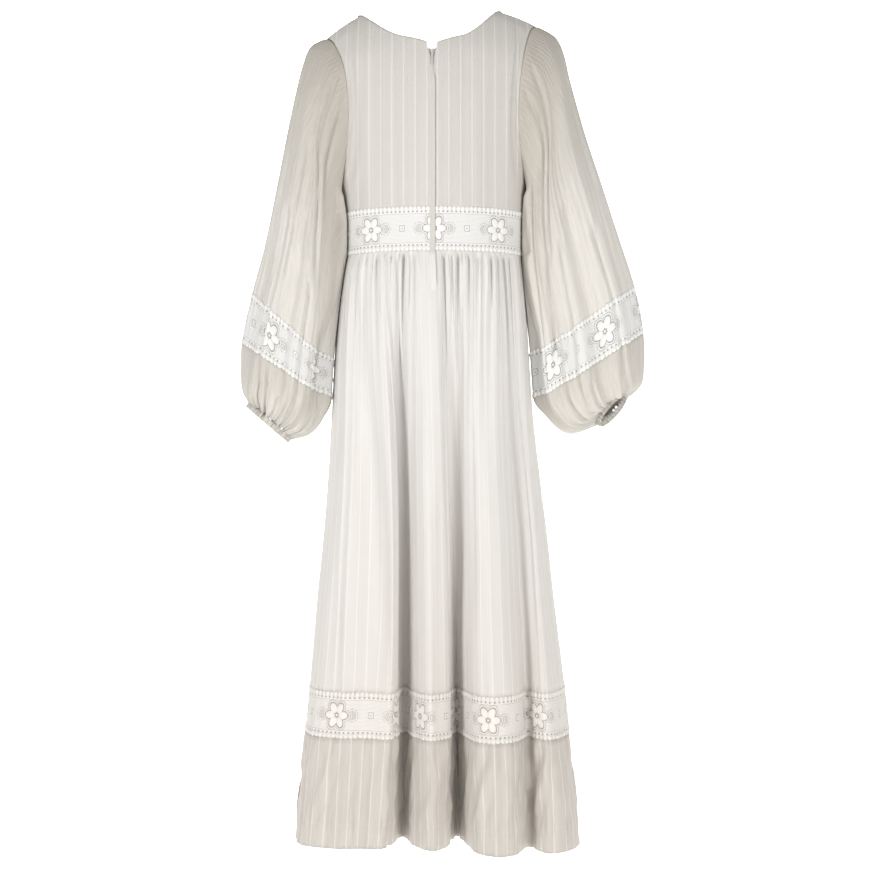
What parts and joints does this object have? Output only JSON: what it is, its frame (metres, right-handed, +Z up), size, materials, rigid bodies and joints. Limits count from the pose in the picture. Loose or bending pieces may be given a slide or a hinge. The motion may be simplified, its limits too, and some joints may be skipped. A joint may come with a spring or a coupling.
{
  "type": "lace maxi dress",
  "caption": "Long empire-line dress with gathered skirt, full bishop sleeves, let-in lace bands and a lapped back zip, filled out as if worn.",
  "frame": {"origin": "where the wearer's neck and shoulders carry the dress: on the middle plane, level with the tops of the shoulder seams", "axes": "+Z up, +Y out of the back with the zip, +X to the wearer's left; the dress hangs below the origin"},
  "size_m": [0.6892, 0.2947, 1.4124],
  "materials": {
    "cotton": "striped cotton, off-white",
    "sheer": "sheer crinkled cotton, off-white",
    "lace": "cotton lace, white",
    "tape": "woven zip tape, off-white",
    "metal": "small metal zip slider"
  },
  "bodies": {
    "dress": {"bodice_back_left": "cotton", "bodice_back_right": "cotton", "bodice_front": "cotton", "neck_lace": "lace", "waist_lace_back_left": "lace", "waist_lace_back_right": "lace", "waist_lace_front": "lace", "skirt_back_left": "cotton", "skirt_back_right": "cotton", "skirt_front": "cotton", "hem_lace_back": "lace", "hem_lace_front": "lace", "hem_flounce_back": "cotton", "hem_flounce_front": "cotton", "sleeve_left": "sheer", "sleeve_lace_left": "lace", "sleeve_puff_left": "sheer", "cuff_left": "sheer", "sleeve_right": "sheer", "sleeve_lace_right": "lace", "sleeve_puff_right": "sheer", "cuff_right": "sheer", "zip_tape": "tape", "zip_lap": "cotton", "zip_slider": "metal"},
    "pull_tab": {"zip_pull": "metal"}
  },
  "joints": [
    {"name": "pull_tab_hinge", "type": "hinge", "parent": "dress", "child": "pull_tab", "pos_m": [0.00428, 0.09698, -0.08279], "axis": [1, 0, 0], "range_deg": [0, 150]}
  ]
}
